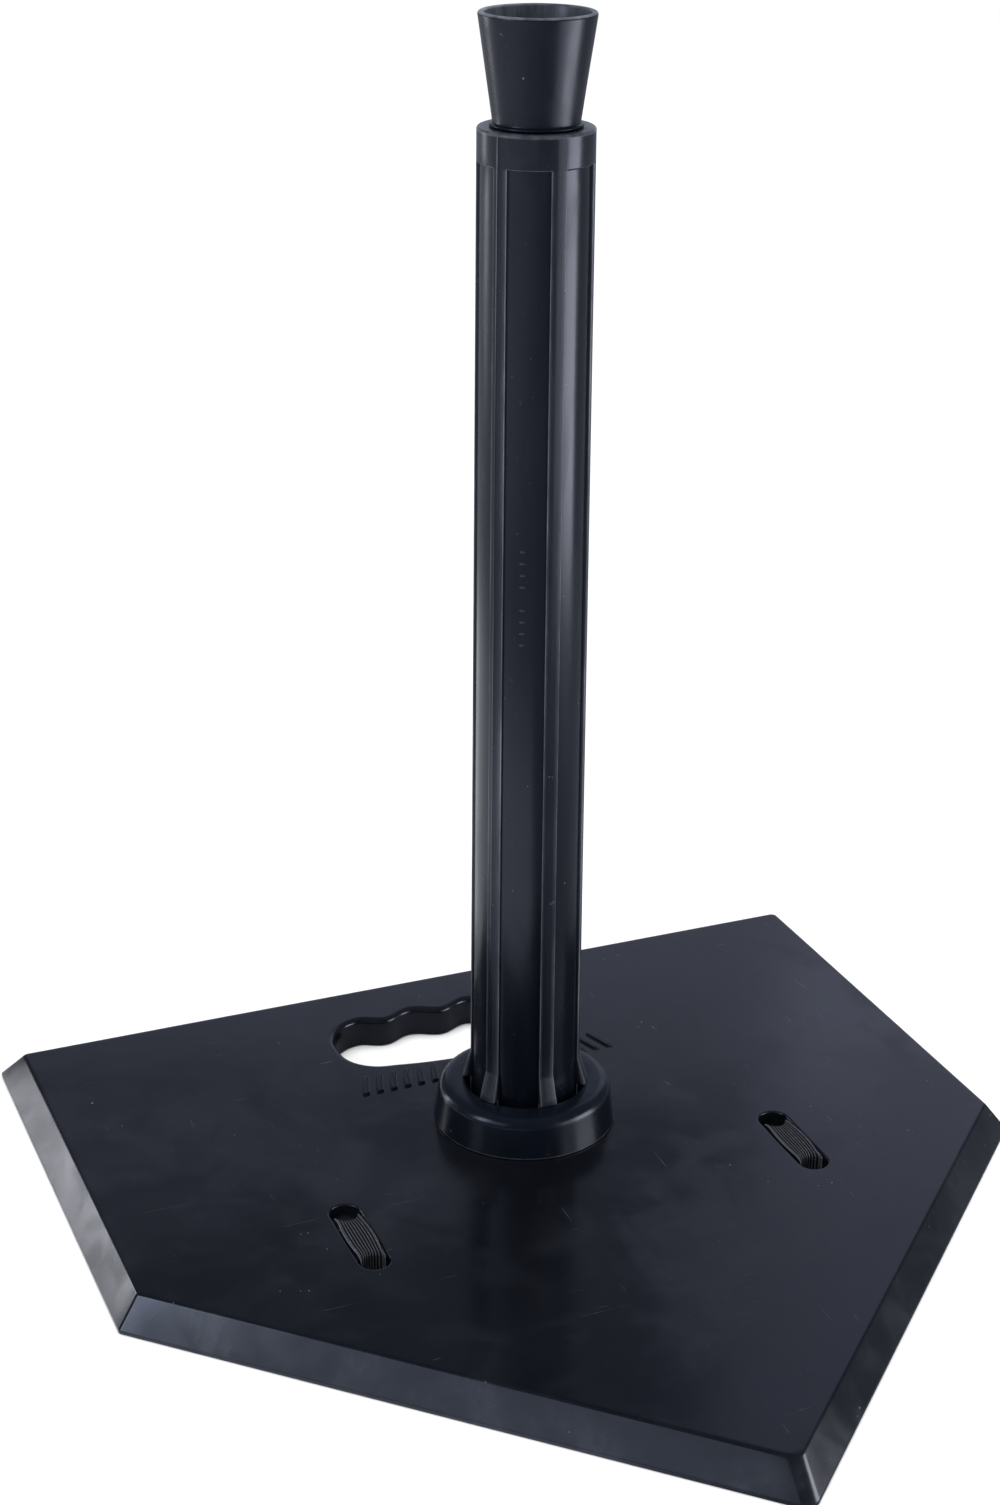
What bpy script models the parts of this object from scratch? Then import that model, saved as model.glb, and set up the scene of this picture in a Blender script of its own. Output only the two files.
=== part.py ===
"""Rubber batting tee on a home-plate base, modelled at real size in metres, +Z up.

The origin is on the ground under the middle of the base. +Y points to the long 17 inch edge of
the plate, -Y to its apex, and the object is mirrored about the plane x = 0. The ribbed post plugs
into a socket in the plate, and an inner tube with a ball cup on top slides in the post.
"""

import math

import bmesh
import bpy
from mathutils import Matrix, Vector

MM = 0.001

# Clearances
GAP = 0.3 * MM
RUNNING_GAP = 0.45 * MM

# Base plate: a regulation home plate with bevelled sides
PLATE_WIDTH = 431.8 * MM
PLATE_DEPTH = 434.5 * MM
PLATE_SIDE = 227.6 * MM
PLATE_THICKNESS = 15.0 * MM
LIP_HEIGHT = 2.0 * MM
BEVEL_INSET = 9.6 * MM
TOP_ROUND = 0.7 * MM
CORNER_RADIUS = 2.5 * MM
APEX_RADIUS = 6.0 * MM
APEX_HALF_ANGLE = math.atan2(PLATE_WIDTH / 2, PLATE_DEPTH - PLATE_SIDE)
TIP_RETREAT = APEX_RADIUS * (1 / math.sin(APEX_HALF_ANGLE) - 1)
BACK_Y = (PLATE_DEPTH - TIP_RETREAT) / 2

# Carrying handle: a slot with finger scallops along its outer side
HANDLE_HALF_LENGTH = 61.5 * MM
HANDLE_FAR_Y = BACK_Y - 40.0 * MM
HANDLE_NEAR_Y = BACK_Y - 89.5 * MM
HANDLE_CORNER = 20.0 * MM
HANDLE_BOW = 5.0 * MM
FINGER_PITCH = 30.0 * MM
FINGER_DEPTH = 2.7 * MM

# Strap slots: two D-shaped holes with a bridge between them
STRAP_X = 106.0 * MM
STRAP_Y = BACK_Y - 218.1 * MM
SLOT_LENGTH = 52.0 * MM
SLOT_WIDTH = 13.8 * MM
BRIDGE_LENGTH = 29.0 * MM
BRIDGE_TOP_RECESS = 1.3 * MM
BRIDGE_UNDER_RECESS = 3.4 * MM
STRAP_WIDTH = 13.0 * MM
STRAP_THICKNESS = 1.4 * MM
STRAP_CROWN = 0.4 * MM
STRAP_BEND = 1.6 * MM

# Raised ornament: slanted bars between the handle and the socket
BAR_HEIGHT = 1.0 * MM
BAR_LENGTH_Y = 15.0 * MM
BAR_WIDTH = 3.4 * MM
BAR_SLANT = 5.0 * MM
BAR_PITCH = 7.0 * MM
BAR_FIRST_X = 19.0 * MM
BAR_COUNT = 7
BAR_Y = BACK_Y - 100.5 * MM

# Socket: a turned rubber collar that grips the plate from both sides
POST_Y = BACK_Y - 150.0 * MM
SOCKET_BASE_RADIUS = 42.4 * MM
SOCKET_SHOULDER_RADIUS = 39.6 * MM
SOCKET_ROUND = 5.0 * MM
SOCKET_TOP = 34.3 * MM
SOCKET_MOUTH_RADIUS = 27.7 * MM
SOCKET_FLOOR_RADIUS = 26.2 * MM
SOCKET_BARREL_RADIUS = 35.7 * MM
SOCKET_FOOT_RADIUS = 38.6 * MM
SOCKET_FOOT_TOP = 3.6 * MM
SOCKET_FLOOR_TOP = 3.4 * MM
SOCKET_BOTTOM = 0.8 * MM

# Outer post: a tapered tube with six ribs
RIB_COUNT = 6
RIB_HALF_ANGLE = math.radians(8.0)
RIB_FLANK_ANGLE = math.radians(0.8)
RIB_HEIGHT = 1.25 * MM
POST_TOP = 471.9 * MM
POST_BOTTOM = SOCKET_FLOOR_TOP + 2 * GAP
POST_TOP_RADIUS = 24.1 * MM
POST_FOOT_RADIUS = 25.4 * MM
BAND_HEIGHT = 13.8 * MM
BAND_ROUND = 1.0 * MM
POST_BORE_RADIUS = 17.9 * MM
GUSSET_RADIUS = 29.0 * MM
GUSSET_HEIGHT = 13.5 * MM
GUSSET_STEP = 2.0 * MM
GUSSET_FOOT = SOCKET_TOP + GAP

# Inner tube and ball cup
TUBE_RADIUS = POST_BORE_RADIUS - RUNNING_GAP
TUBE_BORE_RADIUS = 13.9 * MM
TUBE_LENGTH = 430.0 * MM
TUBE_CHAMFER = 1.0 * MM
CUP_FLANGE_RADIUS = 19.3 * MM
CUP_FLANGE_BOTTOM = POST_TOP + GAP
CUP_FLANGE_HEIGHT = 2.2 * MM
CUP_RIM_Z = 516.5 * MM
CUP_RIM_RADIUS = 24.0 * MM
CUP_NECK_RADIUS = 17.7 * MM
CUP_WALL = 2.7 * MM
CUP_FLOOR_ABOVE_FLANGE = 5.0 * MM
CUP_PLUG_RADIUS = TUBE_BORE_RADIUS - GAP
CUP_PLUG_LENGTH = 24.0 * MM
CUP_PLUG_BORE_RADIUS = 10.5 * MM
TUBE_TOP = CUP_FLANGE_BOTTOM - GAP
TUBE_BOTTOM = TUBE_TOP - TUBE_LENGTH

# Facet counts
ROUND_STEPS = 56
CORNER_STEPS = 5
PANEL_STEPS = 5
RIB_STEPS = 2

# Finishes: colour, roughness
PLATE_RUBBER = ((0.017, 0.018, 0.023), 0.42)
POST_RUBBER = ((0.014, 0.017, 0.024), 0.32)
CUP_RUBBER = ((0.016, 0.018, 0.024), 0.36)
TUBE_RUBBER = ((0.015, 0.017, 0.022), 0.40)
WEBBING = ((0.012, 0.012, 0.013), 0.80)


def clear_scene():
    for item in list(bpy.data.objects):
        bpy.data.objects.remove(item, do_unlink=True)


def new_collection(name):
    collection = bpy.data.collections.new(name)
    bpy.context.scene.collection.children.link(collection)
    return collection


def rubber(name, finish):
    colour, roughness = finish
    material = bpy.data.materials.new(name)
    material.use_nodes = True
    shader = material.node_tree.nodes["Principled BSDF"]
    shader.inputs["Base Color"].default_value = (*colour, 1.0)
    shader.inputs["Roughness"].default_value = roughness
    shader.inputs["Metallic"].default_value = 0.0
    return material


def new_object(name, bm, collection, finish=None, location=(0, 0, 0)):
    mesh = bpy.data.meshes.new(name)
    bm.to_mesh(mesh)
    bm.free()
    piece = bpy.data.objects.new(name, mesh)
    piece.location = location
    collection.objects.link(piece)
    if finish is not None:
        mesh.materials.append(rubber(name + "_finish", finish))
    return piece


def shade_round(piece, angle=35.0):
    piece.data.shade_smooth()
    piece.data.set_sharp_from_angle(angle=math.radians(angle))


def as_cutter(piece):
    piece.hide_render = True
    piece.display_type = "WIRE"
    return piece


def add_boolean(piece, tool, operation):
    modifier = piece.modifiers.new(operation.title() + "_" + tool.name, "BOOLEAN")
    modifier.operation = operation
    modifier.object = tool
    modifier.solver = "EXACT"


def loft(rings, closed=False):
    """Join rings of equally many points with quads; a closed loft joins the last to the first."""
    bm = bmesh.new()
    loops = [[bm.verts.new(point) for point in ring] for ring in rings]
    pairs = list(zip(loops, loops[1:]))
    if closed:
        pairs.append((loops[-1], loops[0]))
    for lower, upper in pairs:
        count = len(lower)
        for i in range(count):
            j = (i + 1) % count
            bm.faces.new((lower[i], lower[j], upper[j], upper[i]))
    if not closed:
        bm.faces.new(list(reversed(loops[0])))
        bm.faces.new(loops[-1])
    bmesh.ops.remove_doubles(bm, verts=bm.verts, dist=0.01 * MM)
    bmesh.ops.recalc_face_normals(bm, faces=bm.faces)
    return bm


def prism(outline, bottom, top):
    rings = [[(x, y, z) for x, y in outline] for z in (bottom, top)]
    return loft(rings)


def arc(centre, radius, start, end, steps):
    points = []
    for i in range(steps + 1):
        angle = start + (end - start) * i / steps
        points.append((centre[0] + radius * math.cos(angle), centre[1] + radius * math.sin(angle)))
    return points


def turned(name, profile, collection, finish, closed_profile=False):
    """Turn an (r, z) profile about the post axis with a Screw modifier."""
    bm = bmesh.new()
    verts = [bm.verts.new((r, 0, z)) for r, z in profile]
    for first, second in zip(verts, verts[1:]):
        bm.edges.new((first, second))
    if closed_profile:
        bm.edges.new((verts[-1], verts[0]))
    piece = new_object(name, bm, collection, finish, (0, POST_Y, 0))
    screw = piece.modifiers.new("Turn", "SCREW")
    screw.angle = math.tau
    screw.steps = ROUND_STEPS
    screw.render_steps = ROUND_STEPS
    screw.use_merge_vertices = True
    screw.merge_threshold = 0.00001
    screw.use_smooth_shade = True
    return piece


# Base plate -------------------------------------------------------------------------------------

def plate_corners(inset):
    """The five corners of the plate's outline, moved in by the given distance."""
    half = PLATE_WIDTH / 2
    sharp = [
        Vector((-half, BACK_Y)),
        Vector((-half, BACK_Y - PLATE_SIDE)),
        Vector((0.0, BACK_Y - PLATE_DEPTH)),
        Vector((half, BACK_Y - PLATE_SIDE)),
        Vector((half, BACK_Y)),
    ]
    moved = []
    for i, corner in enumerate(sharp):
        to_last = (sharp[i - 1] - corner).normalized()
        to_next = (sharp[(i + 1) % len(sharp)] - corner).normalized()
        inward = (to_last + to_next).normalized()
        half_angle = math.acos(to_last.dot(to_next)) / 2
        moved.append(corner + inward * inset / math.sin(half_angle))
    return moved


def rounded_outline(corners, radii):
    """Replace each corner by an arc that is tangent to its two edges."""
    outline = []
    count = len(corners)
    for i, (corner, radius) in enumerate(zip(corners, radii)):
        to_last = (corners[i - 1] - corner).normalized()
        to_next = (corners[(i + 1) % count] - corner).normalized()
        inward = (to_last + to_next).normalized()
        half_angle = math.acos(to_last.dot(to_next)) / 2
        centre = corner + inward * radius / math.sin(half_angle)
        outwards = -inward
        sweep = math.pi / 2 - half_angle
        middle = math.atan2(outwards.y, outwards.x)
        outline += arc(centre, radius, middle - sweep, middle + sweep, CORNER_STEPS)
    return outline


def plate_slab():
    levels = [
        (0.0, 0.0),
        (LIP_HEIGHT, 0.0),
        (PLATE_THICKNESS - TOP_ROUND, BEVEL_INSET - TOP_ROUND),
        (PLATE_THICKNESS, BEVEL_INSET + TOP_ROUND),
    ]
    radii = [CORNER_RADIUS, CORNER_RADIUS, APEX_RADIUS, CORNER_RADIUS, CORNER_RADIUS]
    rings = []
    for z, inset in levels:
        outline = rounded_outline(plate_corners(inset), radii)
        rings.append([(x, y, z) for x, y in outline])
    return loft(rings)


def handle_outline():
    """Slot outline: scalloped far side, bowed near side and round ends."""
    straight = HANDLE_HALF_LENGTH - HANDLE_CORNER
    steps = 48
    far_side = []
    for i in range(steps + 1):
        x = straight - 2 * straight * i / steps
        wave = math.cos(math.tau * x / FINGER_PITCH)
        far_side.append((x, HANDLE_FAR_Y - FINGER_DEPTH * wave))
    bow_radius = (HANDLE_BOW ** 2 + straight ** 2) / (2 * HANDLE_BOW)
    bow_angle = math.asin(straight / bow_radius)
    near_side = arc(
        (0.0, HANDLE_NEAR_Y + bow_radius),
        bow_radius,
        -math.pi / 2 - bow_angle,
        -math.pi / 2 + bow_angle,
        12,
    )
    far_y = far_side[0][1]
    near_y = near_side[0][1]
    left_far = arc((-straight, far_y - HANDLE_CORNER), HANDLE_CORNER, math.pi / 2, math.pi, 8)
    left_near = arc((-straight, near_y + HANDLE_CORNER), HANDLE_CORNER, math.pi, 1.5 * math.pi, 8)
    right_near = [(-x, y) for x, y in reversed(left_near)]
    right_far = [(-x, y) for x, y in reversed(left_far)]
    return far_side + left_far[1:] + left_near[:-1] + near_side + right_near[1:] + right_far[:-1]


def strap_hole_outline(side, end):
    """D-shaped hole: straight against the bridge, round at the slot's end."""
    radius = SLOT_WIDTH / 2
    centre_y = STRAP_Y + end * (SLOT_LENGTH / 2 - radius)
    start = 0.0 if end > 0 else math.pi
    round_end = arc((side * STRAP_X, centre_y), radius, start, start + math.pi, 10)
    bridge_y = STRAP_Y + end * BRIDGE_LENGTH / 2
    first_x = round_end[-1][0]
    last_x = round_end[0][0]
    return round_end + [(first_x, bridge_y), (last_x, bridge_y)]


def bridge_recess_outline(side):
    """The strip over the bridge that the strap lies in, a little longer than the bridge."""
    half_width = SLOT_WIDTH / 2
    half_length = BRIDGE_LENGTH / 2 + 1.0 * MM
    x = side * STRAP_X
    return [
        (x - half_width, STRAP_Y - half_length),
        (x + half_width, STRAP_Y - half_length),
        (x + half_width, STRAP_Y + half_length),
        (x - half_width, STRAP_Y + half_length),
    ]


def bar_outline(side, index):
    """One slanted bar of the ornament; the two groups lean towards each other."""
    x = side * (BAR_FIRST_X + index * BAR_PITCH)
    half_width = BAR_WIDTH / 2
    lean = -side * BAR_SLANT / 2
    half_length = BAR_LENGTH_Y / 2
    return [
        (x - half_width - lean, BAR_Y - half_length),
        (x + half_width - lean, BAR_Y - half_length),
        (x + half_width + lean, BAR_Y + half_length),
        (x - half_width + lean, BAR_Y + half_length),
    ]


def make_base_plate(parts, cutters):
    plate = new_object("base_plate", plate_slab(), parts, PLATE_RUBBER)
    past = 2 * MM

    def cut(name, outline, bottom, top):
        tool = as_cutter(new_object(name, prism(outline, bottom, top), cutters))
        add_boolean(plate, tool, "DIFFERENCE")

    cut("handle_cut", handle_outline(), -past, PLATE_THICKNESS + past)
    barrel_hole = arc((0.0, POST_Y), SOCKET_BARREL_RADIUS + GAP, 0.0, math.tau, ROUND_STEPS)[:-1]
    foot_hole = arc((0.0, POST_Y), SOCKET_FOOT_RADIUS + GAP, 0.0, math.tau, ROUND_STEPS)[:-1]
    cut("socket_cut", barrel_hole, -past, PLATE_THICKNESS + past)
    cut("socket_foot_cut", foot_hole, -past, SOCKET_FOOT_TOP + GAP)
    for side, word in ((-1, "left"), (1, "right")):
        for end, place in ((-1, "front"), (1, "back")):
            name = "strap_hole_" + word + "_" + place
            cut(name, strap_hole_outline(side, end), -past, PLATE_THICKNESS + past)
        recess = bridge_recess_outline(side)
        floor = PLATE_THICKNESS - BRIDGE_TOP_RECESS
        cut("bridge_top_" + word, recess, floor, PLATE_THICKNESS + past)
        cut("bridge_under_" + word, recess, -past, BRIDGE_UNDER_RECESS)
        for index in range(BAR_COUNT):
            outline = bar_outline(side, index)
            bottom = PLATE_THICKNESS - BAR_HEIGHT
            bar_mesh = prism(outline, bottom, PLATE_THICKNESS + BAR_HEIGHT)
            bar = as_cutter(new_object(f"bar_{word}_{index}", bar_mesh, cutters))
            add_boolean(plate, bar, "UNION")
    return plate


# Socket -----------------------------------------------------------------------------------------

def make_socket(parts):
    """Blind turned socket: floor, tapered bore, rounded collar, barrel and foot flange."""
    collar_bottom = PLATE_THICKNESS + GAP
    shoulder = arc(
        (SOCKET_SHOULDER_RADIUS - SOCKET_ROUND, SOCKET_TOP - SOCKET_ROUND),
        SOCKET_ROUND,
        math.pi / 2,
        0.15,
        5,
    )
    mouth_chamfer = 0.6 * MM
    profile = [
        (0.0, SOCKET_FLOOR_TOP),
        (SOCKET_FLOOR_RADIUS, SOCKET_FLOOR_TOP),
        (SOCKET_MOUTH_RADIUS, SOCKET_TOP - mouth_chamfer),
        (SOCKET_MOUTH_RADIUS + mouth_chamfer, SOCKET_TOP),
        *shoulder,
        (SOCKET_BASE_RADIUS, collar_bottom),
        (SOCKET_BARREL_RADIUS, collar_bottom),
        (SOCKET_BARREL_RADIUS, SOCKET_FOOT_TOP),
        (SOCKET_FOOT_RADIUS, SOCKET_FOOT_TOP),
        (SOCKET_FOOT_RADIUS, SOCKET_BOTTOM),
        (0.0, SOCKET_BOTTOM),
    ]
    return turned("post_socket", profile, parts, POST_RUBBER)


# Outer post -------------------------------------------------------------------------------------

def rib_angles():
    """Angles round the post, and whether each is on a rib; the first rib points at the apex."""
    spacing = math.tau / RIB_COUNT
    result = []
    for rib in range(RIB_COUNT):
        middle = -math.pi / 2 + rib * spacing
        for i in range(RIB_STEPS + 1):
            result.append((middle + RIB_HALF_ANGLE * (2 * i / RIB_STEPS - 1), True))
        start = middle + RIB_HALF_ANGLE + RIB_FLANK_ANGLE
        width = spacing - 2 * (RIB_HALF_ANGLE + RIB_FLANK_ANGLE)
        for i in range(PANEL_STEPS + 1):
            result.append((start + width * i / PANEL_STEPS, False))
    return result


def post_radius(z):
    share = (z - POST_BOTTOM) / (POST_TOP - POST_BOTTOM)
    return POST_FOOT_RADIUS + (POST_TOP_RADIUS - POST_FOOT_RADIUS) * share


def post_ring(z, rib_radius, panel_radius):
    ring = []
    for angle, on_rib in rib_angles():
        radius = rib_radius if on_rib else panel_radius
        ring.append((radius * math.cos(angle), radius * math.sin(angle), z))
    return ring


def ribbed_ring(z, rib_radius=None):
    """Ring with recessed panels; rib_radius moves only the ribs out, for the gussets."""
    radius = post_radius(z)
    return post_ring(z, rib_radius or radius, radius - RIB_HEIGHT)


def plain_ring(z, radius):
    return post_ring(z, radius, radius)


def make_outer_post(parts):
    band_bottom = POST_TOP - BAND_HEIGHT
    gusset_top = GUSSET_FOOT + GUSSET_HEIGHT
    top_radius = post_radius(POST_TOP)
    bore_chamfer = 0.6 * MM
    rings = [
        ribbed_ring(POST_BOTTOM),
        ribbed_ring(GUSSET_FOOT),
        ribbed_ring(GUSSET_FOOT, GUSSET_RADIUS),
        ribbed_ring(GUSSET_FOOT + GUSSET_STEP, GUSSET_RADIUS - 0.3 * MM),
        ribbed_ring(gusset_top),
        ribbed_ring(band_bottom),
        plain_ring(band_bottom, post_radius(band_bottom)),
        plain_ring(POST_TOP - BAND_ROUND, top_radius),
        plain_ring(POST_TOP - 0.3 * BAND_ROUND, top_radius - 0.3 * BAND_ROUND),
        plain_ring(POST_TOP, top_radius - BAND_ROUND),
        plain_ring(POST_TOP, POST_BORE_RADIUS + bore_chamfer),
        plain_ring(POST_TOP - bore_chamfer, POST_BORE_RADIUS),
        plain_ring(POST_BOTTOM, POST_BORE_RADIUS),
    ]
    post = new_object("outer_post", loft(rings, closed=True), parts, POST_RUBBER, (0, POST_Y, 0))
    shade_round(post)
    return post


# Inner tube and ball cup ------------------------------------------------------------------------

def make_inner_tube(parts):
    profile = [
        (TUBE_RADIUS, TUBE_TOP),
        (TUBE_RADIUS, TUBE_BOTTOM + TUBE_CHAMFER),
        (TUBE_RADIUS - TUBE_CHAMFER, TUBE_BOTTOM),
        (TUBE_BORE_RADIUS, TUBE_BOTTOM),
        (TUBE_BORE_RADIUS, TUBE_TOP),
    ]
    return turned("inner_tube", profile, parts, TUBE_RUBBER, closed_profile=True)


def make_ball_cup(parts):
    flange_top = CUP_FLANGE_BOTTOM + CUP_FLANGE_HEIGHT
    inner_floor = flange_top + CUP_FLOOR_ABOVE_FLANGE
    plug_bottom = CUP_FLANGE_BOTTOM - CUP_PLUG_LENGTH
    rim = arc(
        (CUP_RIM_RADIUS - CUP_WALL / 2, CUP_RIM_Z - CUP_WALL / 2),
        CUP_WALL / 2,
        math.pi,
        0.0,
        6,
    )
    cone_slope = (CUP_RIM_RADIUS - CUP_NECK_RADIUS) / (CUP_RIM_Z - flange_top)
    floor_radius = CUP_NECK_RADIUS + cone_slope * CUP_FLOOR_ABOVE_FLANGE - CUP_WALL
    profile = [
        *rim,
        (CUP_NECK_RADIUS, flange_top + 1.2 * MM),
        (CUP_NECK_RADIUS + 0.4 * MM, flange_top + 0.3 * MM),
        (CUP_FLANGE_RADIUS, flange_top - 0.6 * MM),
        (CUP_FLANGE_RADIUS, CUP_FLANGE_BOTTOM),
        (CUP_PLUG_RADIUS, CUP_FLANGE_BOTTOM),
        (CUP_PLUG_RADIUS, plug_bottom),
        (CUP_PLUG_BORE_RADIUS, plug_bottom),
        (CUP_PLUG_BORE_RADIUS, inner_floor - 1.0 * MM),
        (floor_radius, inner_floor),
    ]
    return turned("ball_cup", profile, parts, CUP_RUBBER, closed_profile=True)


# Elastic straps ---------------------------------------------------------------------------------

def strap_path():
    """Closed centre line of a strap loop in the (y, z) plane, about the slot's middle."""
    half = BRIDGE_LENGTH / 2 + GAP + STRAP_THICKNESS / 2
    top = PLATE_THICKNESS - BRIDGE_TOP_RECESS + GAP + STRAP_THICKNESS / 2
    low = BRIDGE_UNDER_RECESS - GAP - STRAP_THICKNESS / 2
    bend = STRAP_BEND
    top_run = []
    run_steps = 8
    for i in range(1, run_steps):
        y = (half - bend) * (1 - 2 * i / run_steps)
        rise = STRAP_CROWN * (1 - (y / (half - bend)) ** 2)
        top_run.append((y, top + rise))
    return [
        *arc((half - bend, low + bend), bend, -math.pi / 2, 0.0, 4),
        *arc((half - bend, top - bend), bend, 0.0, math.pi / 2, 4),
        *top_run,
        *arc((bend - half, top - bend), bend, math.pi / 2, math.pi, 4),
        *arc((bend - half, low + bend), bend, math.pi, 1.5 * math.pi, 4),
    ]


def make_strap(parts, side, word):
    path = strap_path()
    count = len(path)
    rings = []
    for i, point in enumerate(path):
        before = Vector(path[i - 1])
        after = Vector(path[(i + 1) % count])
        along = (after - before).normalized()
        outward = Vector((along.y, -along.x)) * STRAP_THICKNESS / 2
        outer = Vector(point) + outward
        inner = Vector(point) - outward
        half = STRAP_WIDTH / 2
        rings.append([(-half, *outer), (half, *outer), (half, *inner), (-half, *inner)])
    name = "strap_" + word
    location = (side * STRAP_X, STRAP_Y, 0)
    strap = new_object(name, loft(rings, closed=True), parts, WEBBING, location)
    shade_round(strap, 40.0)
    return strap


def main():
    clear_scene()
    parts = new_collection("batting_tee")
    cutters = new_collection("cutters")
    make_base_plate(parts, cutters)
    make_socket(parts)
    make_outer_post(parts)
    make_inner_tube(parts)
    make_ball_cup(parts)
    make_strap(parts, -1, "left")
    make_strap(parts, 1, "right")
    bpy.context.view_layer.update()


main()
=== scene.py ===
"""Looks of the rubber batting tee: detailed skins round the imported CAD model, materials and studio."""
import math

import bmesh
import bpy
from mathutils import Matrix, Vector, noise
from mathutils.geometry import delaunay_2d_cdt


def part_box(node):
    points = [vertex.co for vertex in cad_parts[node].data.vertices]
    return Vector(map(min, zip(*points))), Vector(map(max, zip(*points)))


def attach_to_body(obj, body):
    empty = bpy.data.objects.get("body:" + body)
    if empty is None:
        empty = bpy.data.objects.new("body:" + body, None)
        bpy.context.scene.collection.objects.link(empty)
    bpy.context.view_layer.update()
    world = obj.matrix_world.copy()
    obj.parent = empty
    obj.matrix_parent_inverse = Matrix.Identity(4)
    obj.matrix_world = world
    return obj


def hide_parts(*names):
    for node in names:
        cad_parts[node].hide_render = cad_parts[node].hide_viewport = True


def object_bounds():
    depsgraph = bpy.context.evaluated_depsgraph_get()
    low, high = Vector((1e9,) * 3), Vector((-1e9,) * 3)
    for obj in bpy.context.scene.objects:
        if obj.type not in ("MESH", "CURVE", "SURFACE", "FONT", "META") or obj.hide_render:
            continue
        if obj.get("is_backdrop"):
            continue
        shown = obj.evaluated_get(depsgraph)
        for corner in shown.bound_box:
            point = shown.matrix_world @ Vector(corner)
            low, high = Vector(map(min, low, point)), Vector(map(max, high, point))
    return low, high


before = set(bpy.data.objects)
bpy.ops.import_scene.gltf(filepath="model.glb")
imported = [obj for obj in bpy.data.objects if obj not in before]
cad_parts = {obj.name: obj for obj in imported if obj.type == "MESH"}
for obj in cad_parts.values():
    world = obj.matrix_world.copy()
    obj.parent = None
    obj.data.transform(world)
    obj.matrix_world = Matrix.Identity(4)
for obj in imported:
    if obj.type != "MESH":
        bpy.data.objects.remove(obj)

CAD_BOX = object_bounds()
MM = 0.001
CONTACT_GAP = 0.3 * MM

# Plate: the same driving sizes as the CAD model; places come from its box
PLATE_LOW, PLATE_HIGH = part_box("base_plate")
BAR_HEIGHT = 1.0 * MM
PLATE_TOP = PLATE_HIGH.z - BAR_HEIGHT
PLATE_WIDTH = PLATE_HIGH.x - PLATE_LOW.x
BACK_Y = PLATE_HIGH.y
PLATE_DEPTH = 434.5 * MM
PLATE_SIDE = 227.6 * MM
LIP_HEIGHT = 2.0 * MM
BEVEL_INSET = 9.6 * MM
# Pale bloom on the bevels, cut back on the right-hand side as painted shade
BEVEL_BLOOM = 0.13
CORNER_RADIUS = 2.5 * MM
APEX_RADIUS = 6.0 * MM
RIDGE_ROUND = 2.2 * MM
SUPPORT = 0.5 * MM

# Carrying slot, with finger scallops along its far side
HANDLE_HALF_LENGTH = 61.5 * MM
HANDLE_FAR_Y = BACK_Y - 40.0 * MM
HANDLE_NEAR_Y = BACK_Y - 89.5 * MM
HANDLE_CORNER = 20.0 * MM
HANDLE_BOW = 5.0 * MM
HANDLE_ROUND = 2.6 * MM
FINGER_PITCH = 30.0 * MM
FINGER_DEPTH = 2.7 * MM

# Strap slots, the bridge that parts their two holes, and the webbing round it
STRAP_LOW, STRAP_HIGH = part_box("strap_right")
STRAP_X = (STRAP_LOW.x + STRAP_HIGH.x) / 2
STRAP_Y = (STRAP_LOW.y + STRAP_HIGH.y) / 2
STRAP_WIDTH = STRAP_HIGH.x - STRAP_LOW.x
STRAP_THICKNESS = 1.4 * MM
SLOT_LENGTH = 52.0 * MM
SLOT_WIDTH = 13.8 * MM
BRIDGE_TOP = PLATE_TOP - 1.3 * MM
BRIDGE_LOW = 3.4 * MM
STRAP_RIBS = 9
STRAP_RIB_DEPTH = 0.30 * MM
STRAP_CROWN = 0.4 * MM
STRAP_PULL = 0.14
STITCH_COUNT = 9
STITCH_RADIUS = 0.16 * MM

# Raised bars and the waviness of the plate's top
BAR_LENGTH_Y = 15.0 * MM
BAR_WIDTH = 3.4 * MM
BAR_SLANT = 5.0 * MM
BAR_PITCH = 7.0 * MM
BAR_FIRST_X = 19.0 * MM
BAR_COUNT = 7
BAR_ROUND = 0.6 * MM
BAR_Y = BACK_Y - 100.5 * MM
WAVE_HEIGHT = 0.06 * MM
WAVES_PER_METRE = 14.0

# Socket, post, tube and cup stand on one axis
POST_LOW, POST_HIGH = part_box("outer_post")
SOCKET_LOW, SOCKET_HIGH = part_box("post_socket")
TUBE_LOW, TUBE_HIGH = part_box("inner_tube")
CUP_LOW, CUP_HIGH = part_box("ball_cup")
POST_Y = (SOCKET_LOW.y + SOCKET_HIGH.y) / 2
SOCKET_BASE_RADIUS = (SOCKET_HIGH.x - SOCKET_LOW.x) / 2
SOCKET_TOP = SOCKET_HIGH.z
SOCKET_SHOULDER_RADIUS = 39.6 * MM
SOCKET_ROUND = 5.6 * MM
SOCKET_MOUTH_RADIUS = 27.9 * MM
SOCKET_FLOOR_RADIUS = 26.3 * MM
SOCKET_FLOOR_TOP = 3.4 * MM
SOCKET_BARREL_RADIUS = 35.7 * MM
SOCKET_FOOT_RADIUS = 38.6 * MM
SOCKET_FOOT_TOP = 3.6 * MM

# Post; its ribs and its two mould seams are given by angles in degrees
RIB_COUNT = 6
RIB_HALF_ANGLE = 8.0
RIB_HEIGHT = 1.25 * MM
POST_TOP_RADIUS = 24.1 * MM
POST_FOOT_RADIUS = 25.4 * MM
BAND_HEIGHT = 13.8 * MM
BAND_BOTTOM = POST_HIGH.z - BAND_HEIGHT
POST_BORE_RADIUS = 17.9 * MM
GUSSET_RADIUS = 29.0 * MM
GUSSET_HEIGHT = 13.5 * MM
GUSSET_FILL = 1.08
GUSSET_FOOT = SOCKET_TOP + CONTACT_GAP
BAND_ROUND = 1.1 * MM
SEAM_OFFSET = -2.0
SEAM_HALF_WIDTH = 0.5
SEAM_HEIGHT = 0.20 * MM
SEAM_RIBS = (5, 2)

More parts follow.
